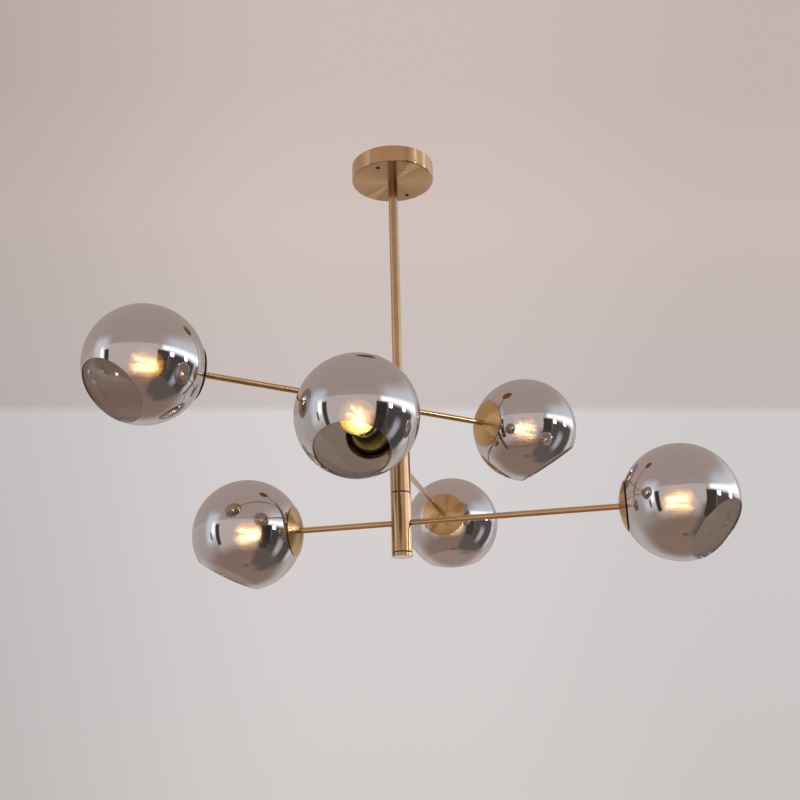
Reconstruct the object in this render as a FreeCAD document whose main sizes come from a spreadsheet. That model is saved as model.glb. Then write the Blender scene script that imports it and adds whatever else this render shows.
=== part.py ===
import FreeCAD, Part
import Sketcher
import math
import os
import re

# Branch chandelier with six glass globes.  Millimetres, +Z up.  The origin is the middle of
# the ceiling face that the canopy and its bracket rest on, so the whole light is below Z = 0.
# A spine of threaded tube hangs from the bracket.  It carries the stem sleeve and a hub of
# three turned tiers, and each tier carries one long and one short arm on one line.

V = FreeCAD.Vector
TURN = FreeCAD.Rotation
PLACE = FreeCAD.Placement
X_AXIS = V(1, 0, 0)
Y_AXIS = V(0, 1, 0)
Z_AXIS = V(0, 0, 1)

DRIVING_SIZES = {
    # canopy and ceiling bracket
    "canopy_diameter": 120,
    "canopy_height": 25,
    "canopy_wall": 1.2,
    "canopy_edge_round": 2.2,
    "bracket_corner_clearance": 3.5,
    "bracket_width": 24,
    "bracket_thickness": 1.5,
    "bracket_drop": 11,
    "bridge_length": 36,
    "bracket_slope_run": 6,
    "ceiling_hole_spacing": 66,
    "ceiling_hole_diameter": 5,
    "canopy_screw_inset": 14.5,
    "canopy_screw_diameter": 4,
    "canopy_screw_head": 6,
    "canopy_screw_head_height": 2,
    "canopy_screw_end_gap": 0.4,
    "bracket_azimuth": 62.7,
    # stem sleeve, spine tube and its nut
    "stem_diameter": 14,
    "stem_visible": 309,
    "stem_seat_depth": 2,
    "spine_diameter": 10,
    "spine_bore": 7,
    "spine_above_nut": 2,
    "wire_window": 5,
    "nut_height": 5,
    "nut_across_flats": 17,
    # hub: caps, three tiers, pivot bushes and grub screws
    "hub_diameter": 28,
    "hub_wall": 4,
    "hub_edge_break": 0.5,
    "top_cap_height": 6,
    "bottom_cap_height": 5,
    "spine_in_bottom_cap": 3.8,
    "tier_pitch": 81,
    "journal_height": 18,
    "bush_flange_height": 0.8,
    "bush_flange_setback": 1.5,
    "bush_spigot_height": 4,
    "grub_screw_diameter": 4,
    "grub_screw_below_top": 13,
    "grub_screw_recess": 0.8,
    "grub_socket_diameter": 2,
    "grub_socket_depth": 2,
    "grub_screw_azimuth": 16,
    # arms
    "arm_diameter": 8,
    "arm_bore": 5,
    "long_reach": 363,
    "short_reach": 216,
    "arm_inner_setback": 0.5,
    "arm_socket_depth": 6,
    "upper_azimuth": 211.6,
    "middle_azimuth": 77.2,
    "lower_azimuth": 348.3,
    # glass globe
    "globe_diameter": 150,
    "glass_wall": 2.5,
    "mouth_diameter": 91,
    "rim_roundness": 0.6,
    # polished dish behind the globe
    "dish_diameter": 68,
    "dish_curve_radius": 68,
    "dish_wall": 1.2,
    # lampholder, gasket and shade ring
    "holder_diameter": 39,
    "holder_nose_step": 2,
    "holder_nose_length": 9,
    "holder_boss_wall": 4,
    "holder_length": 43.6,
    "holder_edge_round": 1.2,
    "gasket_width": 6.95,
    "gasket_thickness": 2,
    "shade_ring_wall": 4.45,
    "shade_ring_height": 8,
    "shade_ring_lip_height": 2.5,
    "shade_ring_step": 1.6,
    # lamp bulb
    "bulb_diameter": 45,
    "bulb_length": 72,
    "bulb_seat_depth": 24.1,
    "bulb_glass_wall": 0.8,
    "bulb_shoulder_diameter": 33,
    "bulb_neck_curve": 9,
    "bulb_glass_in_cap": 2.5,
    "bulb_cap_diameter": 26.4,
    "bulb_cap_wall": 0.6,
    "bulb_cap_length": 25.5,
    "bulb_insulator_height": 3,
    "bulb_contact_diameter": 9.5,
    "bulb_contact_height": 1.6,
    # clearances
    "fit_clearance": 0.05,
    "running_clearance": 0.1,
    "shade_gap": 0.3,
    "hole_clearance": 0.35,
    "cover_clearance": 0.3,
    "seat_clearance": 0.5,
}

TIERS = ("upper", "middle", "lower")

# One row for each lamp: tier, arm, angle from the arm to the mouth, roll about the arm.
LAMPS = (
    ("upper", "long", 48, 12),
    ("upper", "short", 60, -12),
    ("middle", "long", 60, 4),
    ("middle", "short", 60, 2),
    ("lower", "long", 48, -22),
    ("lower", "short", 60, -8),
)

for lamp_tier, lamp_arm, lamp_mouth, lamp_roll in LAMPS:
    DRIVING_SIZES["mouth_angle_" + lamp_tier + "_" + lamp_arm] = lamp_mouth
    DRIVING_SIZES["shade_roll_" + lamp_tier + "_" + lamp_arm] = lamp_roll

# ---------------------------------------------------------------- places worked out from sizes
# heights of the fixed column
BRIDGE_UNDERSIDE = "-(bracket_drop + bracket_thickness)"
NUT_TOP = "-(bracket_drop - nut_height)"
CANOPY_FLOOR = "-canopy_height"
CANOPY_SCREW_R = "(canopy_diameter / 2 - canopy_screw_inset)"
HUB_TOP = "-(canopy_height + stem_visible)"
CAP_BOTTOM = "(" + HUB_TOP + " - top_cap_height)"
TIER_BODY = "(tier_pitch - bush_flange_height - 2 * running_clearance)"
FIRST_TIER_TOP = "(" + CAP_BOTTOM + " - bush_flange_height - running_clearance)"

# radii of the hub
HUB_R = "hub_diameter / 2"
SPINE_R = "spine_diameter / 2"
CAVITY_R = "(hub_diameter / 2 - hub_wall)"
SPINE_HOLE_R = "(spine_diameter / 2 + fit_clearance)"
JOURNAL_R = "(spine_diameter / 2 + running_clearance)"
BUSH_R = "(hub_diameter / 2 - bush_flange_setback)"
STEM_R = "stem_diameter / 2"
ARM_R = "arm_diameter / 2"
ARM_HOLE_R = "(arm_diameter / 2 + fit_clearance)"

# places along a lamp's axis: 0 is the globe's centre and the hub is on the negative side
GLOBE_R = "globe_diameter / 2"
GLASS_IN_R = "(globe_diameter / 2 - glass_wall)"
HOLDER_R = "holder_diameter / 2"
HOLDER_FIT_R = "(holder_diameter / 2 + fit_clearance)"
DISH_OUT_R = "(dish_curve_radius + dish_wall)"
DISH_RIM_DEPTH = "sqrt(" + DISH_OUT_R + "^2 - (dish_diameter / 2)^2)"
DISH_RIM_IN_R = "sqrt(dish_curve_radius^2 - " + DISH_RIM_DEPTH + "^2)"
DISH_RIM = "-sqrt((globe_diameter / 2 + shade_gap)^2 - " + DISH_RIM_IN_R + "^2)"
DISH_CENTRE = "(" + DISH_RIM + " + " + DISH_RIM_DEPTH + ")"
HOLDER_BOSS_R = "(arm_diameter / 2 + holder_boss_wall)"
HOLDER_REAR = ("(" + DISH_CENTRE + " - sqrt(dish_curve_radius^2 - (" + HOLDER_BOSS_R
               + ")^2) + fit_clearance)")
HOLDER_SLEEVE = ("(" + DISH_CENTRE + " - sqrt(dish_curve_radius^2 - (" + HOLDER_R
                 + ")^2) + seat_clearance)")
HOLDER_FRONT = "(" + HOLDER_REAR + " + holder_length)"
GASKET_R = "(" + HOLDER_FIT_R + " + gasket_width)"
GASKET_BACK = "-sqrt((globe_diameter / 2 - glass_wall - shade_gap)^2 - " + GASKET_R + "^2)"
RING_R = "(" + HOLDER_FIT_R + " + shade_ring_wall)"
RING_BACK = "(" + GASKET_BACK + " + gasket_thickness)"
CONTACT_END = "(" + HOLDER_REAR + " + bulb_seat_depth)"
BULB_TIP = "(" + CONTACT_END + " + bulb_length)"
CAP_MOUTH = "(" + CONTACT_END + " + bulb_cap_length)"
CAP_R = "bulb_cap_diameter / 2"
CAP_IN_R = "(bulb_cap_diameter / 2 - bulb_cap_wall)"
SHOULDER_R = "bulb_shoulder_diameter / 2"

document = FreeCAD.newDocument("branch_chandelier")
dims = document.addObject("Spreadsheet::Sheet", "dims")
for row, (alias, size) in enumerate(DRIVING_SIZES.items(), start=1):
    dims.set("A%d" % row, alias)
    dims.set("B%d" % row, str(size))
    dims.setAlias("B%d" % row, alias)
document.recompute()

nodes = []


# ------------------------------------------------------------------------------------ helpers
def bound(expression):
    """Point every size in an expression at its cell."""
    return re.sub(r"[a-z][a-z_]+", lambda word: "dims." + word.group(0)
                  if word.group(0) in DRIVING_SIZES else word.group(0), expression)


def value(expression):
    """The number that an expression of the sheet's sizes stands for."""
    return float(dims.evalExpression(expression))


def tier_middle(tier):
    """Height of a tier's arms."""
    steps = str(TIERS.index(tier))
    return FIRST_TIER_TOP + " - " + TIER_BODY + " / 2 - " + steps + " * tier_pitch"


def new_body(label):
    body = document.addObject("PartDesign::Body", label)
    body.Label = label
    return body


def new_sketch(body, name, plane_role):
    sketch = body.newObject("Sketcher::SketchObject", name)
    plane = [part for part in body.Origin.OriginFeatures if part.Role == plane_role][0]
    sketch.AttachmentSupport = [(plane, "")]
    sketch.MapMode = "FlatFace"
    return sketch


def pin(sketch, edge, end, x_size, y_size):
    """Hold one end of an edge at a place given by two expressions."""
    for kind, size, axis in (("DistanceX", x_size, -2), ("DistanceY", y_size, -1)):
        if size == "0":
            sketch.addConstraint(Sketcher.Constraint("PointOnObject", edge, end, axis))
        else:
            rule = Sketcher.Constraint(kind, -1, 1, edge, end, value(size))
            number = sketch.addConstraint(rule)
            sketch.setExpression("Constraints[%d]" % number, bound(size))


def arc_geometry(start, finish, radius, convex, vertical):
    """An arc of less than half a turn, and the numbers of its first and last ends."""
    chord = finish - start
    middle = (start + finish) * 0.5
    normal = V(-chord.y, chord.x, 0).normalize()
    reach = math.sqrt(radius ** 2 - (chord.Length / 2) ** 2)
    centres = [middle + normal * reach, middle - normal * reach]
    centres.sort(key=lambda point: point.x if vertical else point.y)
    centre = centres[0] if convex else centres[1]
    circle = Part.Circle(centre, Z_AXIS, radius)
    first = math.atan2(start.y - centre.y, start.x - centre.x)
    last = math.atan2(finish.y - centre.y, finish.x - centre.x)
    if (start - centre).cross(finish - centre).z > 0:
        return Part.ArcOfCircle(circle, first, last), 1, 2
    return Part.ArcOfCircle(circle, last, first), 2, 1


def draw_outline(sketch, corners, vertical):
    """A closed outline.  A corner is (along the axis, distance from the axis), and may go on
    with (radius, True for an arc that bulges away from the axis) for the edge that leaves it."""
    places = []
    for corner in corners:
        along, across = corner[0], corner[1]
        places.append((across, along) if vertical else (along, across))
    points = [V(value(x), value(y), 0) for x, y in places]
    ends = []
    for index, corner in enumerate(corners):
        start = points[index]
        finish = points[(index + 1) % len(points)]
        if len(corner) == 2:
            edge = sketch.addGeometry(Part.LineSegment(start, finish), False)
            ends.append((edge, 1, 2))
        else:
            arc, first, last = arc_geometry(start, finish, value(corner[2]), corner[3], vertical)
            edge = sketch.addGeometry(arc, False)
            ends.append((edge, first, last))
    for index, (edge, first, last) in enumerate(ends):
        after, after_first, after_last = ends[(index + 1) % len(ends)]
        sketch.addConstraint(Sketcher.Constraint("Coincident", edge, last, after, after_first))
    for index, (edge, first, last) in enumerate(ends):
        pin(sketch, edge, first, places[index][0], places[index][1])
        if len(corners[index]) > 2:
            rule = Sketcher.Constraint("Radius", edge, value(corners[index][2]))
            number = sketch.addConstraint(rule)
            sketch.setExpression("Constraints[%d]" % number, bound(corners[index][2]))


def turned(label, corners, vertical):
    """A body of revolution about its own Z axis (vertical) or its own X axis."""
    body = new_body(label)
    sketch = new_sketch(body, label + "_profile", "XZ_Plane")
    draw_outline(sketch, corners, vertical)
    revolution = body.newObject("PartDesign::Revolution", label + "_turn")
    revolution.Profile = (sketch, [""])
    revolution.ReferenceAxis = (sketch, ["V_Axis" if vertical else "H_Axis"])
    revolution.Angle = 360
    sketch.Visibility = False
    document.recompute()
    return body


def drilled(body, name, radius, depth, start, direction):
    """A round hole cut into a body from a start point along a direction."""
    hole = body.newObject("PartDesign::SubtractiveCylinder", name)
    hole.setExpression("Radius", bound(radius))
    hole.setExpression("Height", bound(depth))
    hole.Placement = PLACE(start, TURN(Z_AXIS, direction))
    document.recompute()
    return hole


def grouped(label, bodies):
    """Identical pieces of one body, kept together as separate solids."""
    compound = document.addObject("Part::Compound", label)
    compound.Label = label
    compound.Links = bodies
    return compound


def keep(item):
    nodes.append(item)
    return item


def at_height(height, azimuth=0):
    return PLACE(V(0, 0, height), TURN(Z_AXIS, azimuth))


# ----------------------------------------------------------------------- canopy and its fixings
def make_bracket():
    """Bridge-shaped strip: its feet lie on the ceiling and its lowered middle holds the spine."""
    label = "ceiling_bracket"
    body = new_body(label)
    sketch = new_sketch(body, label + "_side", "XZ_Plane")
    half_length = ("sqrt((canopy_diameter / 2 - canopy_wall - bracket_corner_clearance)^2"
                   " - (bracket_width / 2)^2)")
    half_bridge = "bridge_length / 2"
    foot = "(bridge_length / 2 + bracket_slope_run)"
    drop = "-bracket_drop"
    under = "-bracket_thickness"
    corners = (
        ("0", "-" + half_length),
        ("0", "-" + foot),
        (drop, "-" + half_bridge),
        (drop, half_bridge),
        ("0", foot),
        ("0", half_length),
        (under, half_length),
        (under, foot),
        (BRIDGE_UNDERSIDE, half_bridge),
        (BRIDGE_UNDERSIDE, "-" + half_bridge),
        (under, "-" + foot),
        (under, "-" + half_length),
    )
    draw_outline(sketch, corners, True)
    strip = body.newObject("PartDesign::Pad", label + "_strip")
    strip.Profile = (sketch, [""])
    strip.setExpression("Length", bound("bracket_width"))
    strip.Midplane = True
    sketch.Visibility = False
    document.recompute()

    drilled(body, "spine_hole", SPINE_HOLE_R, "bracket_drop * 2", V(0, 0, 0), -Z_AXIS)
    for name, radius, reach in (
        ("ceiling_hole", "ceiling_hole_diameter / 2", "ceiling_hole_spacing / 2"),
        ("screw_thread", "canopy_screw_diameter / 2 + fit_clearance", CANOPY_SCREW_R),
    ):
        for side, foot_name in ((1, "right"), (-1, "left")):
            start = V(side * value(reach), 0, value("bracket_thickness"))
            drilled(body, name + "_" + foot_name, radius, "bracket_thickness * 3", start, -Z_AXIS)
    body.Placement = at_height(0, value("bracket_azimuth"))
    return keep(body)


def make_canopy():
    """Spun drum, open at the ceiling, with a hole for the stem and two for its screws."""
    outer = "canopy_diameter / 2"
    inner = "(canopy_diameter / 2 - canopy_wall)"
    flat = "(canopy_diameter / 2 - canopy_edge_round)"
    edge_top = "-(canopy_height - canopy_edge_round)"
    floor_in = "-(canopy_height - canopy_wall)"
    stem_hole = "(stem_diameter / 2 + cover_clearance)"
    corners = (
        ("0", outer),
        (edge_top, outer, "canopy_edge_round", True),
        (CANOPY_FLOOR, flat),
        (CANOPY_FLOOR, stem_hole),
        (floor_in, stem_hole),
        (floor_in, flat, "canopy_edge_round - canopy_wall", True),
        (edge_top, inner),
        ("0", inner),
    )
    body = turned("canopy", corners, True)
    hole = drilled(body, "canopy_screw_hole", "canopy_screw_diameter / 2 + cover_clearance",
                   "canopy_wall * 3",
                   V(value(CANOPY_SCREW_R), 0, value("-canopy_height + canopy_wall * 2")),
                   -Z_AXIS)
    pattern = body.newObject("PartDesign::PolarPattern", "canopy_screw_holes")
    pattern.Originals = [hole]
    axis = [part for part in body.Origin.OriginFeatures if part.Role == "Z_Axis"][0]
    pattern.Axis = (axis, [""])
    pattern.Angle = 360
    pattern.Occurrences = 2
    body.Tip = pattern
    body.Placement = at_height(0, value("bracket_azimuth"))
    return keep(body)


def make_canopy_screws():
    """Two long domed screws that pull the canopy up against the bracket's feet."""
    head_under = CANOPY_FLOOR
    head_bottom = "(-canopy_height - canopy_screw_head_height)"
    shank = "canopy_screw_diameter / 2"
    dome = "(canopy_screw_head^2 / 8 + canopy_screw_head_height^2 / 2) / canopy_screw_head_height"
    corners = (
        ("-canopy_screw_end_gap", "0"),
        ("-canopy_screw_end_gap", shank),
        (head_under, shank),
        (head_under, "canopy_screw_head / 2", dome, True),
        (head_bottom, "0"),
    )
    screws = []
    for number, side in enumerate((1, -1), start=1):
        screw = turned("canopy_screw_%d" % number, corners, True)
        turn = TURN(Z_AXIS, value("bracket_azimuth"))
        place = turn.multVec(V(side * value(CANOPY_SCREW_R), 0, 0))
        screw.Placement = PLACE(place, turn)
        screws.append(screw)
    return keep(grouped("canopy_screws", screws))


# ------------------------------------------------------------------------- stem, spine and hub
def make_spine():
    """Threaded tube from above the nut to the bottom cap, with a wire window at each tier."""
    top = NUT_TOP + " + spine_above_nut"
    bottom = ("(" + FIRST_TIER_TOP + " - 3 * tier_pitch + running_clearance"
              " - spine_in_bottom_cap)")
    bore = "spine_bore / 2"
    corners = ((top, bore), (top, SPINE_R), (bottom, SPINE_R), (bottom, bore))
    body = turned("spine", corners, True)
    for tier in TIERS:
        drilled(body, "wire_window_" + tier, "wire_window / 2", "spine_diameter * 2",
                V(-value("spine_diameter"), 0, value(tier_middle(tier))), X_AXIS)
    return keep(body)


def make_spine_nut():
    """Hexagon nut that hangs the spine on the bracket's bridge."""
    label = "spine_nut"
    body = new_body(label)
    sketch = new_sketch(body, label + "_hexagon", "XY_Plane")
    half_side = "nut_across_flats / 2 / sqrt(3)"
    corner_reach = "nut_across_flats / sqrt(3)"
    flat = "nut_across_flats / 2"
    corners = (
        ("0", corner_reach),
        (flat, half_side),
        (flat, "-" + half_side),
        ("0", "-" + corner_reach),
        ("-" + flat, "-" + half_side),
        ("-" + flat, half_side),
    )
    draw_outline(sketch, corners, True)
    pad = body.newObject("PartDesign::Pad", label + "_block")
    pad.Profile = (sketch, [""])
    pad.setExpression("Length", bound("nut_height"))
    sketch.Visibility = False
    document.recompute()
    drilled(body, label + "_thread", SPINE_HOLE_R, "nut_height * 3",
            V(0, 0, -value("nut_height")), Z_AXIS)
    body.Placement = at_height(value("-bracket_drop"))
    return keep(body)


def make_stem():
    """Plain sleeve over the spine, from the bracket's bridge down into the hub's top cap."""
    bottom = "(" + HUB_TOP + " - stem_seat_depth)"
    bore = SPINE_HOLE_R
    corners = ((BRIDGE_UNDERSIDE, bore), (BRIDGE_UNDERSIDE, STEM_R), (bottom, STEM_R),
               (bottom, bore))
    return keep(turned("stem", corners, True))


def make_top_cap():
    """Collar with a seat for the stem above and a bearing face for the upper tier below."""
    seat = "(" + HUB_TOP + " - stem_seat_depth)"
    seat_radius = "(stem_diameter / 2 + fit_clearance)"
    bearing = "(" + CAP_BOTTOM + " - bush_flange_height)"
    corners = (
        (HUB_TOP, seat_radius),
        (HUB_TOP, HUB_R + " - hub_edge_break"),
        ("(" + HUB_TOP + " - hub_edge_break)", HUB_R),
        ("(" + CAP_BOTTOM + " + hub_edge_break)", HUB_R),
        (CAP_BOTTOM, HUB_R + " - hub_edge_break"),
        (CAP_BOTTOM, BUSH_R),
        (bearing, BUSH_R),
        (bearing, SPINE_HOLE_R),
        (seat, SPINE_HOLE_R),
        (seat, seat_radius),
    )
    return keep(turned("hub_top_cap", corners, True))


def make_bottom_cap():
    """Blind nut, flush with the tiers, that closes the hub and holds it on the spine."""
    top = "(" + FIRST_TIER_TOP + " - 3 * tier_pitch + running_clearance)"
    bottom = "(" + top + " - bottom_cap_height)"
    blind = "(" + top + " - spine_in_bottom_cap - fit_clearance)"
    corners = (
        (top, SPINE_HOLE_R),
        (top, HUB_R + " - hub_edge_break"),
        ("(" + top + " - hub_edge_break)", HUB_R),
        ("(" + bottom + " + hub_edge_break)", HUB_R),
        (bottom, HUB_R + " - hub_edge_break"),
        (bottom, "0"),
        (blind, "0"),
        (blind, SPINE_HOLE_R),
    )
    return keep(turned("hub_bottom_cap", corners, True))


def make_pivot_bushes():
    """Flanged bushes on the spine: each centres the tier above it and carries its weight."""
    bore = SPINE_HOLE_R
    spigot = "(" + CAVITY_R + " - running_clearance)"
    corners = (
        ("0", bore),
        ("0", BUSH_R),
        ("bush_flange_height", BUSH_R),
        ("bush_flange_height", spigot),
        ("(bush_flange_height + bush_spigot_height)", spigot),
        ("(bush_flange_height + bush_spigot_height)", bore),
    )
    bushes = []
    for count in range(1, len(TIERS) + 1):
        bush = turned("pivot_bush_%d" % count, corners, True)
        under = FIRST_TIER_TOP + " + running_clearance - %d * tier_pitch" % count
        bush.Placement = at_height(value(under))
        bushes.append(bush)
    return keep(grouped("pivot_bushes", bushes))


def make_tier(tier):
    """Turned tier: a journal on the spine above, a wide cavity for the wires below."""
    top = "(" + TIER_BODY + " / 2)"
    bottom = "-(" + TIER_BODY + " / 2)"
    step = "(" + TIER_BODY + " / 2 - journal_height)"
    corners = (
        (top, JOURNAL_R),
        (top, HUB_R + " - hub_edge_break"),
        ("(" + top + " - hub_edge_break)", HUB_R),
        ("(" + bottom + " + hub_edge_break)", HUB_R),
        (bottom, HUB_R + " - hub_edge_break"),
        (bottom, CAVITY_R),
        (step, CAVITY_R),
        (step, JOURNAL_R),
    )
    body = turned("hub_" + tier, corners, True)
    drilled(body, "arm_holes_" + tier, ARM_HOLE_R, "hub_diameter * 2",
            V(-value("hub_diameter"), 0, 0), X_AXIS)
    screw_turn = TURN(Z_AXIS, value("grub_screw_azimuth"))
    screw_height = value(top + " - grub_screw_below_top")
    drilled(body, "grub_thread_" + tier, "grub_screw_diameter / 2 + fit_clearance",
            "hub_diameter", V(0, 0, screw_height), screw_turn.multVec(X_AXIS))
    body.Placement = at_height(value(tier_middle(tier)), value(tier + "_azimuth"))
    return keep(body)


def make_grub_screw(tier):
    """Socket screw that locks a tier on the spine, drawn backed off by a small gap."""
    tip = "(" + SPINE_R + " + shade_gap)"
    end = "(" + HUB_R + " - grub_screw_recess)"
    socket = "(" + end + " - grub_socket_depth)"
    corners = (
        (tip, "0"),
        (tip, "grub_screw_diameter / 2"),
        (end, "grub_screw_diameter / 2"),
        (end, "grub_socket_diameter / 2"),
        (socket, "grub_socket_diameter / 2"),
        (socket, "0"),
    )
    body = turned("grub_screw_" + tier, corners, False)
    height = tier_middle(tier) + " + " + TIER_BODY + " / 2 - grub_screw_below_top"
    body.Placement = at_height(value(height), value(tier + "_azimuth + grub_screw_azimuth"))
    return keep(body)


# ------------------------------------------------------------------------------- arms and lamps
def arm_placement(tier, arm):
    """Frame of an arm: origin on the hub's axis, +X out along the arm."""
    azimuth = value(tier + "_azimuth") + (180 if arm == "short" else 0)
    return at_height(value(tier_middle(tier)), azimuth)


def lamp_placement(tier, arm):
    """Frame of a lamp: origin at the globe's centre, +X out along the arm."""
    return arm_placement(tier, arm).multiply(PLACE(V(value(arm + "_reach"), 0, 0), TURN()))


def make_arm(tier, arm):
    """Tube from the tier's wall, through the dish, into the lampholder's boss."""
    inner_end = "(" + CAVITY_R + " + arm_inner_setback)"
    outer_end = "(" + arm + "_reach + " + HOLDER_REAR + " + arm_socket_depth - fit_clearance)"
    corners = (
        (inner_end, "arm_bore / 2"),
        (inner_end, ARM_R),
        (outer_end, ARM_R),
        (outer_end, "arm_bore / 2"),
    )
    body = turned("arm_" + tier + "_" + arm, corners, False)
    body.Placement = arm_placement(tier, arm)
    return keep(body)


def make_dish(name):
    """Shallow spun dish that backs the globe; its rim stands just off the glass."""
    hole = ARM_HOLE_R
    hole_inside = DISH_CENTRE + " - sqrt(dish_curve_radius^2 - " + hole + "^2)"
    hole_outside = DISH_CENTRE + " - sqrt(" + DISH_OUT_R + "^2 - " + hole + "^2)"
    corners = (
        (hole_inside, hole, "dish_curve_radius", True),
        (DISH_RIM, DISH_RIM_IN_R),
        (DISH_RIM, "dish_diameter / 2", DISH_OUT_R, True),
        (hole_outside, hole),
    )
    return turned("dish_" + name, corners, False)


def make_lampholder(name):
    """Moulded holder: a boss for the arm, a sleeve through the glass and a slimmer nose."""
    nose_step = "(" + HOLDER_FRONT + " - holder_nose_length)"
    nose_radius = "(holder_diameter / 2 - holder_nose_step)"
    bore = "(bulb_cap_diameter / 2 + cover_clearance)"
    round_start = "(" + HOLDER_FRONT + " - holder_edge_round)"
    arm_stop = "(" + HOLDER_REAR + " + arm_socket_depth)"
    bore_end = "(" + CONTACT_END + " + bulb_contact_height)"
    corners = (
        (HOLDER_REAR, ARM_HOLE_R),
        (HOLDER_REAR, HOLDER_BOSS_R),
        (HOLDER_SLEEVE, HOLDER_BOSS_R),
        (HOLDER_SLEEVE, HOLDER_R),
        (nose_step, HOLDER_R),
        (nose_step, nose_radius),
        (round_start, nose_radius, "holder_edge_round", True),
        (HOLDER_FRONT, "(" + nose_radius + " - holder_edge_round)"),
        (HOLDER_FRONT, bore),
        (bore_end, bore),
        (bore_end, "bulb_contact_diameter / 2 + cover_clearance"),
        (CONTACT_END, "bulb_contact_diameter / 2 + cover_clearance"),
        (CONTACT_END, "0"),
        (arm_stop, "0"),
        (arm_stop, ARM_HOLE_R),
    )
    return turned("lampholder_" + name, corners, False)


def make_gasket(name):
    """Soft washer between the inside of the glass and the shade ring."""
    front = "(" + GASKET_BACK + " + gasket_thickness)"
    corners = (
        (GASKET_BACK, HOLDER_FIT_R),
        (GASKET_BACK, GASKET_R),
        (front, GASKET_R),
        (front, HOLDER_FIT_R),
    )
    return turned("gasket_" + name, corners, False)


def make_shade_ring(name):
    """Stepped ring nut that runs on the lampholder's sleeve and clamps the glass."""
    lip = "(" + RING_BACK + " + shade_ring_lip_height)"
    front = "(" + RING_BACK + " + shade_ring_height)"
    body_radius = "(" + RING_R + " - shade_ring_step)"
    corners = (
        (RING_BACK, HOLDER_FIT_R),
        (RING_BACK, RING_R),
        (lip, RING_R),
        ("(" + lip + " + shade_ring_step)", body_radius),
        ("(" + front + " - hub_edge_break)", body_radius),
        (front, "(" + body_radius + " - hub_edge_break)"),
        (front, HOLDER_FIT_R),
    )
    return turned("shade_ring_" + name, corners, False)


def make_shade(name):
    """Blown globe: round-edged mouth about its own -Z axis, and a neck hole for the holder."""
    rim_sine = "(mouth_diameter / globe_diameter)"
    rim_cosine = "sqrt(1 - " + rim_sine + "^2)"
    corners = (
        (GLOBE_R, "0", GLOBE_R, True),
        ("-" + GLOBE_R + " * " + rim_cosine, GLOBE_R + " * " + rim_sine,
         "glass_wall * rim_roundness", True),
        ("-" + GLASS_IN_R + " * " + rim_cosine, GLASS_IN_R + " * " + rim_sine,
         GLASS_IN_R, True),
        (GLASS_IN_R, "0"),
    )
    body = turned("shade_" + name, corners, True)
    mouth_angle = math.radians(value("mouth_angle_" + name))
    toward_hub = V(-math.sin(mouth_angle), 0, math.cos(mouth_angle))
    drilled(body, "neck_hole_" + name, "holder_diameter / 2 + hole_clearance", "globe_diameter",
            V(0, 0, 0), toward_hub)
    return body


def shade_turn(name):
    """Turn from the globe's own frame, mouth on -Z, to its lamp's frame."""
    tilt = TURN(Y_AXIS, value("mouth_angle_" + name) - 90)
    roll = TURN(X_AXIS, value("shade_roll_" + name))
    return PLACE(V(0, 0, 0), roll.multiply(tilt))


def make_bulb_cap(name):
    """Screw cap of the bulb: a thin shell, an insulator cone and the end contact."""
    shell_end = "(" + CONTACT_END + " + bulb_contact_height + bulb_insulator_height)"
    cone_end = "(" + CONTACT_END + " + bulb_contact_height)"
    inside_end = "(" + shell_end + " + bulb_cap_wall)"
    corners = (
        (CAP_MOUTH, CAP_IN_R),
        (CAP_MOUTH, CAP_R),
        (shell_end, CAP_R),
        (cone_end, "bulb_contact_diameter / 2"),
        (CONTACT_END, "bulb_contact_diameter / 2"),
        (CONTACT_END, "0"),
        (inside_end, "0"),
        (inside_end, CAP_IN_R),
    )
    return turned("bulb_cap_" + name, corners, False)


def make_bulb_glass(name):
    """Round bulb: a sphere that a concave neck brings down to the cap."""
    centre = "(" + BULB_TIP + " - bulb_diameter / 2)"
    outer = "bulb_diameter / 2"
    inner = "(bulb_diameter / 2 - bulb_glass_wall)"
    neck = "(" + CAP_IN_R + " - fit_clearance)"
    neck_in = "(" + neck + " - bulb_glass_wall)"
    shoulder_in = "(" + SHOULDER_R + " - bulb_glass_wall)"
    shoulder = "(" + centre + " - sqrt((" + outer + ")^2 - (" + SHOULDER_R + ")^2))"
    shoulder_inside = "(" + centre + " - sqrt(" + inner + "^2 - " + shoulder_in + "^2))"
    end = "(" + CAP_MOUTH + " - bulb_glass_in_cap)"
    corners = (
        (BULB_TIP, "0", outer, True),
        (shoulder, SHOULDER_R, "bulb_neck_curve", False),
        (CAP_MOUTH, neck),
        (end, neck),
        (end, neck_in),
        (CAP_MOUTH, neck_in, "bulb_neck_curve", False),
        (shoulder_inside, shoulder_in, inner, True),
        ("(" + BULB_TIP + " - bulb_glass_wall)", "0"),
    )
    return turned("bulb_glass_" + name, corners, False)


def make_lamp(tier, arm):
    """All the pieces of one lamp, placed on its arm; the gasket goes to the tier's group."""
    name = tier + "_" + arm
    place = lamp_placement(tier, arm)
    for maker in (make_dish, make_lampholder, make_shade_ring, make_bulb_cap, make_bulb_glass):
        piece = keep(maker(name))
        piece.Placement = place
    shade = keep(make_shade(name))
    shade.Placement = place.multiply(shade_turn(name))
    gasket = make_gasket(name)
    gasket.Placement = place
    return gasket


def check_and_write():
    """Stop on any failed object; then write one file for each node."""
    document.recompute()
    for item in document.Objects:
        if "Invalid" in item.State or "Error" in item.State:
            raise RuntimeError("failed object: " + item.Label)
    for item in nodes:
        if item.Shape.isNull() or not item.Shape.isValid():
            raise RuntimeError("bad shape: " + item.Label)
    os.makedirs("parts", exist_ok=True)
    for item in nodes:
        item.Shape.exportStep("parts/" + item.Label + ".step")


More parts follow.
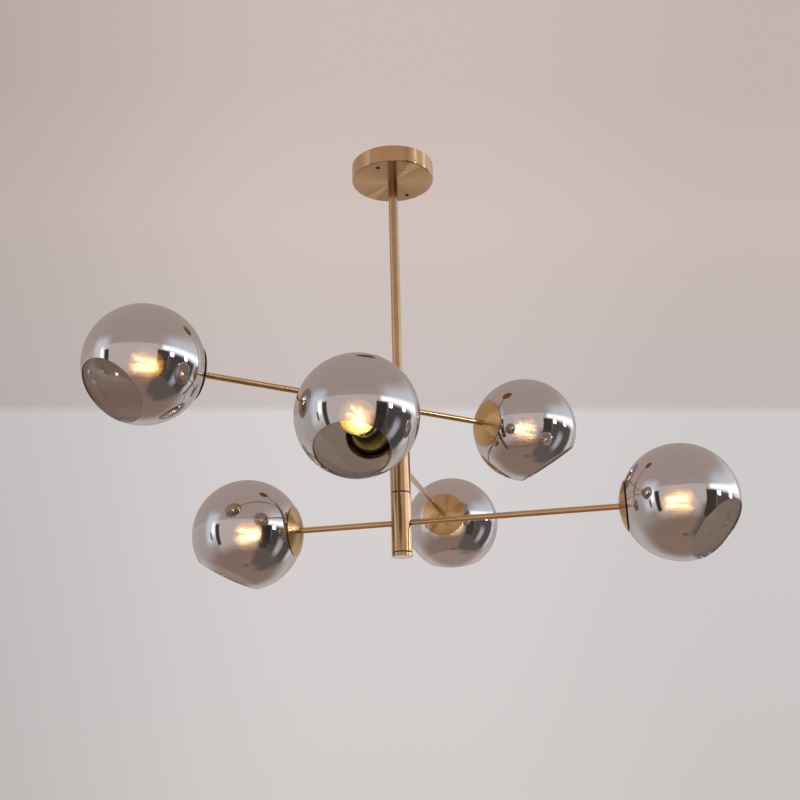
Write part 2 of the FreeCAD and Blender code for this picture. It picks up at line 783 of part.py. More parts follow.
make_bracket()
make_canopy()
make_canopy_screws()
make_spine()
make_spine_nut()
make_stem()
make_top_cap()
make_bottom_cap()
make_pivot_bushes()
for tier_name in TIERS:
    make_tier(tier_name)
    make_grub_screw(tier_name)
    tier_gaskets = []
    for lamp_tier, lamp_arm, lamp_mouth, lamp_roll in LAMPS:
        if lamp_tier == tier_name:
            make_arm(lamp_tier, lamp_arm)
            tier_gaskets.append(make_lamp(lamp_tier, lamp_arm))
    keep(grouped("gaskets_" + tier_name, tier_gaskets))
check_and_write()
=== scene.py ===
import math

import bpy
from mathutils import Matrix, Vector


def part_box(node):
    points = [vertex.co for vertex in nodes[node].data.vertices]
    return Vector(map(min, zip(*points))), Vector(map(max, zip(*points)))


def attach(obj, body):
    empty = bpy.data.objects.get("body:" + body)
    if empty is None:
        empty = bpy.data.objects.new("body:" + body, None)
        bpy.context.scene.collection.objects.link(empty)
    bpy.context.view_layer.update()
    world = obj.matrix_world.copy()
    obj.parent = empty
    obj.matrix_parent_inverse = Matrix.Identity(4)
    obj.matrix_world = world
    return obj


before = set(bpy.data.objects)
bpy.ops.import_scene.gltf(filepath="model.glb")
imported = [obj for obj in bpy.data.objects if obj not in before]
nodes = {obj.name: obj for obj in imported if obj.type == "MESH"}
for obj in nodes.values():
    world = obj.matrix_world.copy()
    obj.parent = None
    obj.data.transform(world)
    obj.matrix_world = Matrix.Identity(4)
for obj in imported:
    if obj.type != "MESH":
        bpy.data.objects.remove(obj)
scene = bpy.context.scene
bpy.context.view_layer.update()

# the column's axis is x = y = 0; lengths in metres, angles in degrees
UP = Vector((0.0, 0.0, 1.0))
# azimuth of each tier's long arm, and the height of its two arms
TIERS = {"upper": (211.6, -0.3809), "middle": (77.2, -0.4619), "lower": (348.3, -0.5429)}
# from the column's axis to the middle of a globe
REACH = {"long": 0.363, "short": 0.216}
# angle from the arm to the mouth, and roll about the arm
MOUTHS = {
    ("upper", "long"): (48, 12),
    ("upper", "short"): (60, -12),
    ("middle", "long"): (60, 4),
    ("middle", "short"): (60, 2),
    ("lower", "long"): (48, -22),
    ("lower", "short"): (60, -8),
}
GLOBE_RADIUS = 0.075
GLASS_WALL = 0.0025
MOUTH_RADIUS = 0.0455
MOUTH_PLANE = math.sqrt(GLOBE_RADIUS ** 2 - MOUTH_RADIUS ** 2)
# the dish is a slice of a ball; its rim stands DISH_GAP off the globe
DISH_CURVE = 0.068
DISH_WALL = 0.0012
DISH_RADIUS = 0.034
DISH_GAP = 0.0003
RIM_DEPTH = math.sqrt((DISH_CURVE + DISH_WALL) ** 2 - DISH_RADIUS ** 2)
RIM_INNER = math.sqrt(DISH_CURVE ** 2 - RIM_DEPTH ** 2)
GLOBE_TO_DISH_CURVE = RIM_DEPTH - math.sqrt((GLOBE_RADIUS + DISH_GAP) ** 2 - RIM_INNER ** 2)


def compass(azimuth):
    """Level unit vector at an angle round the column from +X."""
    turn = math.radians(azimuth)
    return Vector((math.cos(turn), math.sin(turn), 0.0))


# ------------------------------------------------------------------ material nodes
def new_material(name):
    material = bpy.data.materials.new(name)
    material.use_nodes = True
    tree = material.node_tree
    tree.nodes.clear()
    return material, tree


def add(tree, kind, sockets=(), **settings):
    """A node with its settings; sockets are values, or outputs to link, by input name or number."""
    node = tree.nodes.new(kind)
    for key, setting in settings.items():
        setattr(node, key, setting)
    for key, given in dict(sockets).items():
        if isinstance(given, bpy.types.NodeSocket):
            tree.links.new(given, node.inputs[key])
        else:
            node.inputs[key].default_value = given
    return node


def finish(tree, shader):
    output = add(tree, "ShaderNodeOutputMaterial")
    tree.links.new(shader, output.inputs["Surface"])


def principled(tree, colour, metallic, roughness, specular=0.5):
    return add(tree, "ShaderNodeBsdfPrincipled", {
        "Base Color": (*colour, 1.0), "Metallic": metallic, "Roughness": roughness,
        "Specular IOR Level": specular})


def place_on_piece(tree):
    return add(tree, "ShaderNodeTexCoord").outputs["Object"]


def noise(tree, scale, detail=2.0):
    """Noise over the piece's own coordinates; scale is in cells per metre."""
    texture = add(tree, "ShaderNodeTexNoise", {
        "Vector": place_on_piece(tree), "Scale": scale, "Detail": detail})
    return texture.outputs["Fac"]


def spread(tree, source, to_low, to_high, from_low=0.3, from_high=0.7, smooth=False):
    node = add(tree, "ShaderNodeMapRange", {
        "Value": source, "From Min": from_low, "From Max": from_high,
        "To Min": to_low, "To Max": to_high},
        interpolation_type="SMOOTHSTEP" if smooth else "LINEAR")
    return node.outputs["Result"]


def tone(tree, source, first, second):
    node = add(tree, "ShaderNodeValToRGB", {"Fac": source})
    for stop, place, colour in zip(node.color_ramp.elements, (0.3, 0.7), (first, second)):
        stop.position = place
        stop.color = (*colour, 1.0)
    return node.outputs["Color"]


def toward(tree, share, varying, fixed):
    """A varying colour, mixed toward a fixed one by a share that varies too."""
    node = add(tree, "ShaderNodeMix", {"Factor": share, 6: varying, 7: (*fixed, 1.0)},
               data_type="RGBA")
    return node.outputs[2]


def calc(tree, operation, first, second=0.0):
    return add(tree, "ShaderNodeMath", {0: first, 1: second},
               operation=operation).outputs["Value"]


def vector(tree, operation, first, second=None):
    sockets = {0: first} if second is None else {0: first, 1: second}
    node = add(tree, "ShaderNodeVectorMath", sockets, operation=operation)
    return node.outputs["Value" if operation in ("LENGTH", "DOT_PRODUCT") else "Vector"]


def blend_shader(tree, share, first, second):
    return add(tree, "ShaderNodeMixShader", {"Fac": share, 1: first, 2: second}).outputs["Shader"]


# ------------------------------------------------------------------ finishes
# the canopy's painted highlight fan: its brass, its share at the middle, and the sines that it
# fades between
PAINTED_FAN_TONE = (0.98, 0.70, 0.36)
PAINTED_FAN_SHARE = 0.55
PAINTED_FAN_FADE = (0.03, 0.2)
# thin clear glass: its mirror, and the amber that a lit bulb's glass adds
CLEAR_MIRROR = (1.0, 0.97, 0.92)
HAZE_AMBER = (1.0, 0.76, 0.32)
GLOW_AMBER = (1.0, 0.70, 0.28)
# smoked glass: what passes the coat facing the eye and at the edge, and what passes inside it
SMOKE_FACING, SMOKE_EDGE = (0.33, 0.265, 0.225), (0.20, 0.17, 0.155)
SMOKE_INSIDE = (0.95, 0.945, 0.94)
# its mirror's tint, and its mirrored share facing the eye and at the edge
SMOKE_MIRROR = (0.95, 0.895, 0.875)
STRONG_SHARES, WEAK_SHARES = (0.50, 0.68), (0.06, 0.34)
RIM_GREY, RIM_DARK, RIM_LIGHT = (0.26, 0.24, 0.22), (0.20, 0.185, 0.17), (0.32, 0.30, 0.28)
# where one finish fades into the next: under the globe's outer face, behind the mouth's plane,
# in from the glass's two faces, and out from the dish's hollow face
COAT_DEPTHS = (0.0014, 0.0010)
RIM_DEPTHS = (0.0026, 0.0022)
SKIN = (0.00004, 0.00012)
HOLLOW_SKIN = (0.0002, 0.0004)


def painted_fan_highlight(tree, angle):
    """Share of a painted highlight fan, the sheen of lathe lines round +Z, on a level face at an
    angle.
    """
    local = add(tree, "ShaderNodeMapping", {
        "Vector": place_on_piece(tree), "Rotation": (0, 0, -math.radians(angle))})
    flat = vector(tree, "NORMALIZE", vector(tree, "MULTIPLY", local.outputs["Vector"], (1, 1, 0)))
    off_line = calc(tree, "ABSOLUTE", vector(tree, "DOT_PRODUCT", flat, (0, 1, 0)))
    normal = add(tree, "ShaderNodeNewGeometry").outputs["Normal"]
    level = calc(tree, "ABSOLUTE", vector(tree, "DOT_PRODUCT", normal, (0, 0, 1)))
    return calc(tree, "MULTIPLY", spread(tree, off_line, PAINTED_FAN_SHARE, 0.0, *PAINTED_FAN_FADE, True),
                spread(tree, level, 0.0, 1.0, 0.8, 0.95))


def metal_shader(tree, first, second, roughness, scale, metallic=1.0, fan=None):
    """Metal whose tone and roughness drift a little; fan is the angle of a painted highlight fan.
    """
    shader = principled(tree, first, metallic, roughness)
    grain = noise(tree, scale, 3.0)
    colour = tone(tree, grain, first, second)
    if fan is not None:
        # a painted highlight: the base colour turns lighter in a fan
        colour = toward(tree, painted_fan_highlight(tree, fan), colour, PAINTED_FAN_TONE)
    tree.links.new(colour, shader.inputs["Base Color"])
    tree.links.new(spread(tree, grain, roughness * 0.9, roughness * 1.12),
                   shader.inputs["Roughness"])
    return shader


def brush(tree, shader, tangent, amount):
    """Draw the sheen out across brush lines that run along the tangent."""
    tree.links.new(tangent, shader.inputs["Tangent"])
    shader.inputs["Anisotropic"].default_value = amount
    shader.inputs["Anisotropic Rotation"].default_value = 0.25


def metal(name, first, second, roughness, scale, brushed=0.0, lacquer=0.0, metallic=1.0,
          fan=None):
    material, tree = new_material(name)
    shader = metal_shader(tree, first, second, roughness, scale, metallic, fan)
    shader.inputs["Coat Weight"].default_value = lacquer
    shader.inputs["Coat Roughness"].default_value = 0.1
    shader.inputs["Coat IOR"].default_value = 1.6
    if brushed:
        lines = add(tree, "ShaderNodeTangent", direction_type="RADIAL", axis="Z")
        brush(tree, shader, lines.outputs["Tangent"], brushed)
    finish(tree, shader.outputs["BSDF"])
    return material


def dull(name, first, second, roughness, scale, specular=0.5):
    material, tree = new_material(name)
    shader = principled(tree, first, 0.0, roughness, specular)
    tree.links.new(tone(tree, noise(tree, scale), first, second), shader.inputs["Base Color"])
    finish(tree, shader.outputs["BSDF"])
    return material


def glowing(name, colour, paler, strength):
    material, tree = new_material(name)
    grain = tone(tree, noise(tree, 900.0), colour, paler)
    shine = add(tree, "ShaderNodeEmission", {"Color": grain, "Strength": strength})
    finish(tree, shine.outputs["Emission"])
    return material


def clear_glass(name, through, least, most, haze=0.0, glow=0.0, ripple=0.0):
    """Thin clear glass that mirrors a least share facing the eye and a most share at its edge.

    Haze blurs a share of the light in amber, and glow spreads a share evenly. Ripple is the
    height of the glass's waves.
    """
    material, tree = new_material(name)
    clear = add(tree, "ShaderNodeBsdfTransparent", {"Color": (*through, 1.0)})
    mirror = principled(tree, CLEAR_MIRROR, 1.0, 0.03)
    cells = noise(tree, 420.0, 1.0)
    passed = clear.outputs["BSDF"]
    if ripple:
        waves = add(tree, "ShaderNodeBump", {"Height": cells, "Strength": 1.0, "Distance": ripple})
        tree.links.new(waves.outputs["Normal"], mirror.inputs["Normal"])
    if haze:
        blur = add(tree, "ShaderNodeBsdfRefraction", {
            "Color": (*HAZE_AMBER, 1.0), "Roughness": 0.6, "IOR": 1.45})
        amount = spread(tree, cells, haze * 0.85, haze * 1.15)
        passed = blend_shader(tree, amount, passed, blur.outputs["BSDF"])
    if glow:
        even = add(tree, "ShaderNodeBsdfTranslucent", {"Color": (*GLOW_AMBER, 1.0)})
        amount = spread(tree, cells, glow * 0.4, glow * 1.6)
        passed = blend_shader(tree, amount, passed, even.outputs["BSDF"])
    facing = add(tree, "ShaderNodeLayerWeight", {"Blend": 0.3}).outputs["Facing"]
    share = spread(tree, facing, least, most, 0.0, 1.0)
    finish(tree, blend_shader(tree, share, passed, mirror.outputs["BSDF"]))
    return material


def smoked_glass(name, centre, mouth_axis):
    """Globe glass with a grey mirror coat outside; its ground mouth edge is darker and glossy."""
    material, tree = new_material(name)
    place = vector(tree, "SUBTRACT", place_on_piece(tree), centre)
    reach = vector(tree, "LENGTH", place)
    along = vector(tree, "DOT_PRODUCT", place, mouth_axis)
    inside = spread(tree, reach, 1.0, 0.0,
                    GLOBE_RADIUS - COAT_DEPTHS[0], GLOBE_RADIUS - COAT_DEPTHS[1])

    # the mirror is strong outside, and weak inside and from behind
    behind = add(tree, "ShaderNodeNewGeometry").outputs["Backfacing"]
    weak = calc(tree, "MAXIMUM", inside, behind)
    facing = add(tree, "ShaderNodeLayerWeight", {"Blend": 0.25}).outputs["Facing"]
    strong_share = spread(tree, facing, *STRONG_SHARES, 0.0, 1.0)
    weak_share = spread(tree, facing, *WEAK_SHARES, 0.0, 1.0)
    share = add(tree, "ShaderNodeMix", {0: weak, 2: strong_share, 3: weak_share},
                data_type="FLOAT").outputs["Result"]
    tint = toward(tree, inside, tone(tree, facing, SMOKE_FACING, SMOKE_EDGE), SMOKE_INSIDE)
    clear = add(tree, "ShaderNodeBsdfTransparent", {"Color": tint})
    mirror = principled(tree, SMOKE_MIRROR, 1.0, 0.02)
    tree.links.new(spread(tree, noise(tree, 14.0), 0.012, 0.03), mirror.inputs["Roughness"])
    body = blend_shader(tree, share, clear.outputs["BSDF"], mirror.outputs["BSDF"])

    # the ground edge: near the mouth's plane, and clear of the outer and the inner face
    near_mouth = spread(tree, along, 0.0, 1.0,
                        MOUTH_PLANE - RIM_DEPTHS[0], MOUTH_PLANE - RIM_DEPTHS[1])
    under_outer = spread(tree, reach, 1.0, 0.0, GLOBE_RADIUS - SKIN[1], GLOBE_RADIUS - SKIN[0])
    over_inner = spread(tree, reach, 0.0, 1.0,
                        GLOBE_RADIUS - GLASS_WALL + SKIN[0], GLOBE_RADIUS - GLASS_WALL + SKIN[1])
    in_rim = calc(tree, "MULTIPLY", near_mouth, calc(tree, "MULTIPLY", under_outer, over_inner))
    edge = principled(tree, RIM_GREY, 1.0, 0.09)
    tree.links.new(tone(tree, noise(tree, 700.0), RIM_DARK, RIM_LIGHT), edge.inputs["Base Color"])
    finish(tree, blend_shader(tree, in_rim, body, edge.outputs["BSDF"]))
    return material


def spun_dish(name, middle, axis):
    """Dish brushed round its own axis; the hollow side that faces the glass is made near black."""
    material, tree = new_material(name)
    bright = metal_shader(tree, (0.53, 0.315, 0.125), (0.60, 0.37, 0.16), 0.26, 40)
    place = vector(tree, "SUBTRACT", place_on_piece(tree), middle)
    round_axis = vector(tree, "NORMALIZE", vector(tree, "CROSS_PRODUCT", axis, place))
    turned = add(tree, "ShaderNodeVectorTransform", {"Vector": round_axis}, vector_type="VECTOR",
                 convert_from="OBJECT", convert_to="WORLD")
    brush(tree, bright, turned.outputs["Vector"], 0.92)
    dark = metal_shader(tree, (0.025, 0.02, 0.013), (0.045, 0.036, 0.022), 0.3, 90)
    hollow = spread(tree, vector(tree, "LENGTH", place), 1.0, 0.0,
                    DISH_CURVE + HOLLOW_SKIN[0], DISH_CURVE + HOLLOW_SKIN[1])
    finish(tree, blend_shader(tree, hollow, bright.outputs["BSDF"], dark.outputs["BSDF"]))
    return material


# finishes by the record's material slot
FINISHES = {
    "satin_brass": metal("satin_brass_round", (0.44, 0.255, 0.105), (0.50, 0.295, 0.125), 0.17, 30,
                         brushed=0.3, lacquer=1.0),
    "ring_brass": metal("ring_brass_gold", (0.60, 0.46, 0.09), (0.68, 0.53, 0.13), 0.2, 60,
                        metallic=0.75),
    "screw_dark": metal("screw_dark_bronze", (0.07, 0.05, 0.035), (0.10, 0.075, 0.05), 0.35, 300),
    "bracket_steel": metal("bracket_zinc", (0.50, 0.50, 0.49), (0.62, 0.62, 0.61), 0.38, 90),
    "spine_steel": metal("spine_zinc", (0.48, 0.48, 0.46), (0.60, 0.60, 0.58), 0.34, 120),
    "grub_steel": metal("grub_black_oxide", (0.035, 0.034, 0.033), (0.06, 0.058, 0.055), 0.42, 500),
    "bush_black": dull("bush_acetal", (0.05, 0.034, 0.02), (0.07, 0.048, 0.03), 0.5, 150),
    "holder_black": dull("holder_phenolic", (0.012, 0.011, 0.010), (0.022, 0.020, 0.018), 0.28,
                         120),
    "gasket_rubber": dull("gasket_rubber_black", (0.012, 0.012, 0.012), (0.025, 0.024, 0.023),
                          0.7, 220, specular=0.3),
    "bulb_clear": clear_glass("bulb_glass_clear", (0.98, 0.94, 0.82), 0.04, 0.35,
                              haze=0.4, glow=0.016, ripple=0.0006),
    "bulb_cap_metal": metal("bulb_cap_nickel", (0.62, 0.58, 0.50), (0.72, 0.68, 0.60), 0.28, 140),
}
# the brass differs from piece to piece: the hub is darker as painted shade, the canopy more brushed
HUB_BRASS_PAINTED_SHADE = metal("satin_brass_hub", (0.36, 0.20, 0.075), (0.41, 0.235, 0.09), 0.17, 30,
                  brushed=0.3, lacquer=1.0)
# the canopy's brass carries the painted highlight fan
CANOPY_BRASS_PAINTED_FAN = metal("satin_brass_canopy_painted_fan", (0.52, 0.315, 0.15), (0.58, 0.36, 0.175), 0.29, 30,
                     brushed=0.95, lacquer=0.3, fan=-54)
ARM_BRASS = metal("satin_brass_arm", (0.53, 0.315, 0.14), (0.60, 0.365, 0.17), 0.22, 45,
                  lacquer=0.4)
FILAMENT = glowing("filament_glow", (1.0, 0.85, 0.55), (1.0, 0.92, 0.70), 34.0)
LEAD = metal("lead_wire", (0.55, 0.50, 0.44), (0.68, 0.62, 0.55), 0.3, 400)
STEM_GLASS = clear_glass("stem_glass", (0.97, 0.92, 0.84), 0.08, 0.5)


# ------------------------------------------------------------------ mesh helpers
def rod(vertices, faces, start, end, radius, sides=10):
    """A closed round rod from start to end, added to a list of vertices and one of faces."""
    along = (end - start).normalized()
    helper = UP if abs(along.z) < 0.9 else Vector((1, 0, 0))
    across = along.cross(helper).normalized()
    other = along.cross(across)
    first = len(vertices)
    for place in (start, end):
        for step in range(sides):
            angle = 2 * math.pi * step / sides
            vertices.append(place + (across * math.cos(angle) + other * math.sin(angle)) * radius)
    for step in range(sides):
        following = (step + 1) % sides
        faces.append((first + step, first + following, first + sides + following,
                      first + sides + step))
    faces.append(tuple(first + step for step in reversed(range(sides))))
    faces.append(tuple(first + sides + step for step in range(sides)))


def piece(name, vertices, faces, material, slot, body):
    mesh = bpy.data.meshes.new(name)
    mesh.from_pydata([tuple(place) for place in vertices], [], faces)
    for face in mesh.polygons:
        face.use_smooth = len(face.vertices) == 4
    mesh.materials.append(material)
    item = bpy.data.objects.new(name, mesh)
    scene.collection.objects.link(item)
    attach(item, body)


# ------------------------------------------------------------------ inside a bulb
# places along the arm from the middle of the bulb, and distances from the arm's line
STICKS = 5
STICK_NEAR, STICK_FAR, STICK_RADIUS = -0.014, 0.012, 0.0014
STICKS_NEAR_RING, STICKS_FAR_RING = 0.0045, 0.0075
STICKS_TWIST = 0.35
LEAD_FOOT, LEAD_TIP, LEAD_RADIUS = -0.021, 0.015, 0.0003
LEADS_RING = 0.0018
MOUNT_FOOT, MOUNT_SHOULDER = -0.030, -0.019
MOUNT_RADIUS, MOUNT_ROD_RADIUS = 0.0042, 0.0011
BULB_WATTS = 0.8
BULB_LIGHT = (1.0, 0.74, 0.42)
BULB_LIGHT_RADIUS = 0.012


def filament(bulb, out, side):
    """Vertices and faces of the glowing sticks, and of the lead wires at both their ends."""
    def spot(along, radius, angle):
        return bulb + out * along + (side * math.cos(angle) + UP * math.sin(angle)) * radius

    sticks, leads = ([], []), ([], [])
    for stick in range(STICKS):
        angle = 2 * math.pi * (stick + 0.25) / STICKS
        near = spot(STICK_NEAR, STICKS_NEAR_RING, angle)
        far = spot(STICK_FAR, STICKS_FAR_RING, angle + STICKS_TWIST)
        rod(*sticks, near, far, STICK_RADIUS)
        rod(*leads, spot(LEAD_FOOT, LEADS_RING, angle), near, LEAD_RADIUS, 6)
        rod(*leads, far, spot(LEAD_TIP, 0.0, 0.0), LEAD_RADIUS, 6)
    return sticks, leads


def glass_mount(bulb, out):
    """Vertices and faces of the glass foot in the bulb's neck, and of the rod that it carries."""
    mount = ([], [])
    shoulder = bulb + out * MOUNT_SHOULDER
    rod(*mount, bulb + out * MOUNT_FOOT, shoulder, MOUNT_RADIUS, 16)
    rod(*mount, shoulder, bulb + out * LEAD_TIP, MOUNT_ROD_RADIUS)
    return mount


def bulb_light(name, place, body):
    """A small warm lamp that lights its surroundings without being seen itself."""
    light = bpy.data.lights.new(name, "POINT")
    light.energy = BULB_WATTS
    light.color = BULB_LIGHT
    light.shadow_soft_size = BULB_LIGHT_RADIUS
    item = bpy.data.objects.new(name, light)
    item.location = place
    item.visible_camera = False
    item.visible_glossy = False
    item.visible_transmission = False
    scene.collection.objects.link(item)
    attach(item, body)


# ------------------------------------------------------------------ lamps
for (tier, arm), (mouth_angle, roll) in MOUTHS.items():
    lamp = tier + "_" + arm
    body = "branch_" + tier
    azimuth, height = TIERS[tier]
    out = compass(azimuth + (180 if arm == "short" else 0))
    side = UP.cross(out)
    globe = out * REACH[arm] + UP * height
    tilt, turn = math.radians(mouth_angle), math.radians(roll)
    mouth_axis = (out * math.cos(tilt) + side * math.sin(tilt) * math.sin(turn)
                  - UP * math.sin(tilt) * math.cos(turn))
    nodes["shade_" + lamp].data.materials[0] = smoked_glass(
        "smoke_glass_" + lamp, globe, mouth_axis)
    nodes["dish_" + lamp].data.materials[0] = spun_dish(
        "polished_dish_" + lamp, globe + out * GLOBE_TO_DISH_CURVE, out)

    # the bulb's round end reaches two sides of its glass's box
    glass_low, glass_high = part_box("bulb_glass_" + lamp)
    bulb_radius = (glass_high.z - glass_low.z) / 2
    bulb = Vector((glass_high.x - bulb_radius if out.x > 0 else glass_low.x + bulb_radius,
                   glass_high.y - bulb_radius if out.y > 0 else glass_low.y + bulb_radius,
                   height))
    sticks, leads = filament(bulb, out, side)
    piece("filament_" + lamp, *sticks, FILAMENT, "bulb_clear", body)
    piece("leads_" + lamp, *leads, LEAD, "bulb_cap_metal", body)
    piece("bulb_mount_" + lamp, *glass_mount(bulb, out), STEM_GLASS, "bulb_clear", body)
    bulb_light("bulb_light_" + lamp, bulb, body)

for name, item in nodes.items():
    slot = item.data.materials[0].name
    if name == "canopy":
        item.data.materials[0] = CANOPY_BRASS_PAINTED_FAN
    elif name.startswith("hub_"):
        item.data.materials[0] = HUB_BRASS_PAINTED_SHADE
    elif name.startswith("arm_"):
        item.data.materials[0] = ARM_BRASS
    elif slot in FINISHES:
        item.data.materials[0] = FINISHES[slot]

# ------------------------------------------------------------------ studio
KEY_PLACE, KEY_AIM = Vector((1.6, -2.6, 0.9)), Vector((0.0, 0.0, -0.45))
KEY_SIZE, KEY_WATTS = (2.6, 1.6), 22
FLOOR_HALF, FLOOR_HEIGHT = 80, -2.4

key = bpy.data.lights.new("soft_key", "AREA")
key.shape = "RECTANGLE"
key.size, key.size_y = KEY_SIZE
key.energy = KEY_WATTS
key.color = (1.0, 0.985, 0.96)
key_light = bpy.data.objects.new("soft_key", key)
key_light.location = KEY_PLACE
key_light.rotation_euler = (KEY_AIM - KEY_PLACE).to_track_quat("-Z", "Y").to_euler()
key_light.visible_camera = False
key_light.visible_glossy = False
scene.collection.objects.link(key_light)

floor_mesh = bpy.data.meshes.new("floor")
floor_mesh.from_pydata([(-FLOOR_HALF, -FLOOR_HALF, 0), (FLOOR_HALF, -FLOOR_HALF, 0),
                        (FLOOR_HALF, FLOOR_HALF, 0), (-FLOOR_HALF, FLOOR_HALF, 0)],
                       [], [(0, 1, 2, 3)])
floor = bpy.data.objects.new("floor", floor_mesh)
floor.location = (0, 0, FLOOR_HEIGHT)
floor.visible_glossy = False
floor_mesh.materials.append(dull("floor_pale", (0.74, 0.71, 0.69), (0.78, 0.75, 0.73), 0.6, 1.2,
                                 specular=0.2))
scene.collection.objects.link(floor)

# ------------------------------------------------------------------ world: a pale room
# the camera sees plain walls; the lamp mirrors and is lit by the same walls with patches on them
ROOM_YAW = -5.1
# rise over the distance to a square room's walls, and the colour there; ceiling from 0.3463 up
ROOM_STOPS = (
    (-1.0, (0.48, 0.43, 0.41)),
    (-0.3, (0.60, 0.555, 0.54)),
    (0.03, (0.645, 0.61, 0.60)),
    (0.3445, (0.685, 0.65, 0.65)),
    (0.3463, (0.585, 0.52, 0.51)),
    (0.55, (0.635, 0.54, 0.50)),
    (0.70, (0.59, 0.50, 0.465)),
)
MIRRORED_LEVEL = 0.95
LEFT_LEVEL, RIGHT_LEVEL = 0.76, 0.92
DAYLIGHT = (0.88, 0.96, 1.06)
NEUTRAL = (0.86, 0.81, 0.80)
DARK = (0.9, 0.85, 0.82)
SHADE = (0.86, 0.63, 0.52)
RED = (0.9, 0.25, 0.2)
# azimuths, elevations, fades, colour, strength; later ones lie over earlier ones.
# azimuth 0 is the right of the photo, 90 is ahead, and -90 is behind the camera
PATCHES = (
    # walls behind the camera and ahead, the shaded floor, and its darkest part on the right
    ((-152, -48), (-45, 20), (14, 2.5), NEUTRAL, 0.95),
    ((40, 140), (-60, -5), (30, 20), NEUTRAL, 0.85),
    ((-290, 110), (-110, -34), (1, 30), SHADE, 0.42),
    ((-60, 30), (-75, -14), (24, 16), DARK, 0.16),
    # bright wall top and window on the right
    ((-35, 50), (12, 34), (36, 24), DAYLIGHT, 1.05),
    ((-44, 42), (11, 19), (8, 7), DAYLIGHT, 2.3),
    # window on the left, with a dark bar at each side
    ((184, 214), (-16, 30), (16, 18), DAYLIGHT, 1.1),
    ((200, 207), (-4, 16), (6, 10), DAYLIGHT, 2.4),
    ((196, 199.5), (-12, 1), (2, 4), DARK, 0.06),
    ((209, 218), (-24, 13), (2.5, 3), DARK, 0.06),
    # dark furniture on the right, and two paler places in front of it and beside it
    ((-53, -32), (-36, 10), (2.5, 3), DARK, 0.05),
    ((-32, 28), (-38, 8), (7, 5), DARK, 0.11),
    ((-12, 2), (-38, -10), (10, 16), DAYLIGHT, 0.7),
    ((28, 40), (-26, 10), (8, 14), DAYLIGHT, 1.0),
    # two small lamps, and a red thing on the floor
    ((-28, -23), (3.5, 8.5), (3, 3), DAYLIGHT, 40.0),
    ((2, 7), (6, 11), (3, 3), DAYLIGHT, 40.0),
    ((-112, -68), (-82.5, -75.5), (30, 4), RED, 0.4),
)

world = bpy.data.worlds.new("room")
scene.world = world
world.use_nodes = True
sky = world.node_tree
sky.nodes.clear()
sight = add(sky, "ShaderNodeTexCoord").outputs["Generated"]


def background(colour, strength):
    node = add(sky, "ShaderNodeBackground", {"Color": colour, "Strength": strength})
    return node.outputs["Background"]


def soft_edge(value, half, fade):
    """1 inside the half width and 0 outside it, over a fade across its edge."""
    return spread(sky, calc(sky, "ABSOLUTE", value), 1.0, 0.0,
                  half - fade / 2, half + fade / 2, True)


def patch(azimuths, elevations, fades):
    """A soft-edged share of the directions between two azimuths and two elevations, in degrees."""
    middle, half = sum(azimuths) / 2, (azimuths[1] - azimuths[0]) / 2
    local = add(sky, "ShaderNodeMapping", {
        "Vector": sight, "Rotation": (0, 0, -math.radians(middle))})
    parts = add(sky, "ShaderNodeSeparateXYZ", {"Vector": local.outputs["Vector"]}).outputs
    sideways = calc(sky, "ARCTAN2", parts["Y"], parts["X"])
    lift = calc(sky, "SUBTRACT", calc(sky, "ARCSINE", parts["Z"]),
                math.radians(sum(elevations) / 2))
    return calc(sky, "MULTIPLY",
                soft_edge(sideways, math.radians(half), math.radians(fades[0])),
                soft_edge(lift, math.radians((elevations[1] - elevations[0]) / 2),
                          math.radians(fades[1])))


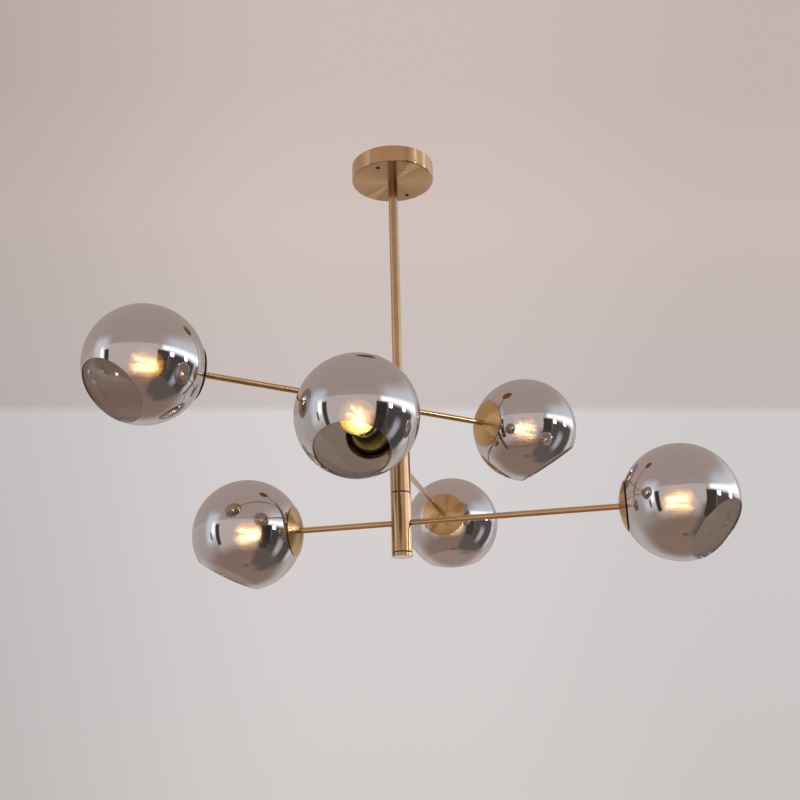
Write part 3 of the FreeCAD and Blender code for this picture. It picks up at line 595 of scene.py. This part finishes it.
turned = add(sky, "ShaderNodeMapping", {
    "Vector": sight, "Rotation": (0, 0, math.radians(ROOM_YAW))})
axes = add(sky, "ShaderNodeSeparateXYZ", {"Vector": turned.outputs["Vector"]})
across, ahead, upright = axes.outputs["X"], axes.outputs["Y"], axes.outputs["Z"]
wall = calc(sky, "MAXIMUM", calc(sky, "ABSOLUTE", across), calc(sky, "ABSOLUTE", ahead))
rise = calc(sky, "DIVIDE", upright, wall)
ramp = add(sky, "ShaderNodeValToRGB", {"Fac": spread(sky, rise, 0.0, 1.0, -1.0, 1.0)})
ends = ramp.color_ramp.elements
for number, (level, colour) in enumerate(ROOM_STOPS):
    place = (level + 1) / 2
    stop = ends[0] if number == 0 else ends.new(place)
    stop.position = place
    stop.color = (*colour, 1.0)
ends.remove(ends[len(ROOM_STOPS)])
walls = ramp.outputs["Color"]

side_level = calc(sky, "MULTIPLY", spread(sky, across, LEFT_LEVEL, 1.0, -0.36, 0.02, True),
                  spread(sky, across, 1.0, RIGHT_LEVEL, 0.12, 0.36, True))
plain = background(walls, side_level)
mirrored = background(walls, MIRRORED_LEVEL)
for azimuths, elevations, fades, colour, strength in PATCHES:
    mirrored = blend_shader(sky, patch(azimuths, elevations, fades), mirrored,
                            background((*colour, 1.0), strength))
is_camera = add(sky, "ShaderNodeLightPath").outputs["Is Camera Ray"]
seen = blend_shader(sky, is_camera, mirrored, plain)
world_output = add(sky, "ShaderNodeOutputWorld")
sky.links.new(seen, world_output.inputs["Surface"])

# ------------------------------------------------------------------ camera
PITCH, ROLL, YAW = math.radians(19.57), math.radians(-1.51), math.radians(0.31)
CAMERA_PLACE = (0.01041, -1.4897, -0.8984)
LENS, SENSOR = 51.42, 36

level_right = Vector((math.cos(YAW), math.sin(YAW), 0))
level_ahead = Vector((-math.sin(YAW), math.cos(YAW), 0))
upward = UP * math.cos(PITCH) - level_ahead * math.sin(PITCH)
forward = level_ahead * math.cos(PITCH) + UP * math.sin(PITCH)
camera_right = level_right * math.cos(ROLL) + upward * math.sin(ROLL)
camera_up = upward * math.cos(ROLL) - level_right * math.sin(ROLL)
turning = Matrix((camera_right, camera_up, -forward)).transposed().to_4x4()
camera_data = bpy.data.cameras.new("camera")
camera_data.sensor_width = SENSOR
camera_data.lens = LENS
camera = bpy.data.objects.new("camera", camera_data)
camera.matrix_world = Matrix.Translation(CAMERA_PLACE) @ turning
scene.collection.objects.link(camera)
scene.camera = camera

scene.view_settings.view_transform = "Standard"
# light crosses both walls of several globes and bulbs
scene.cycles.transparent_max_bounces = 32
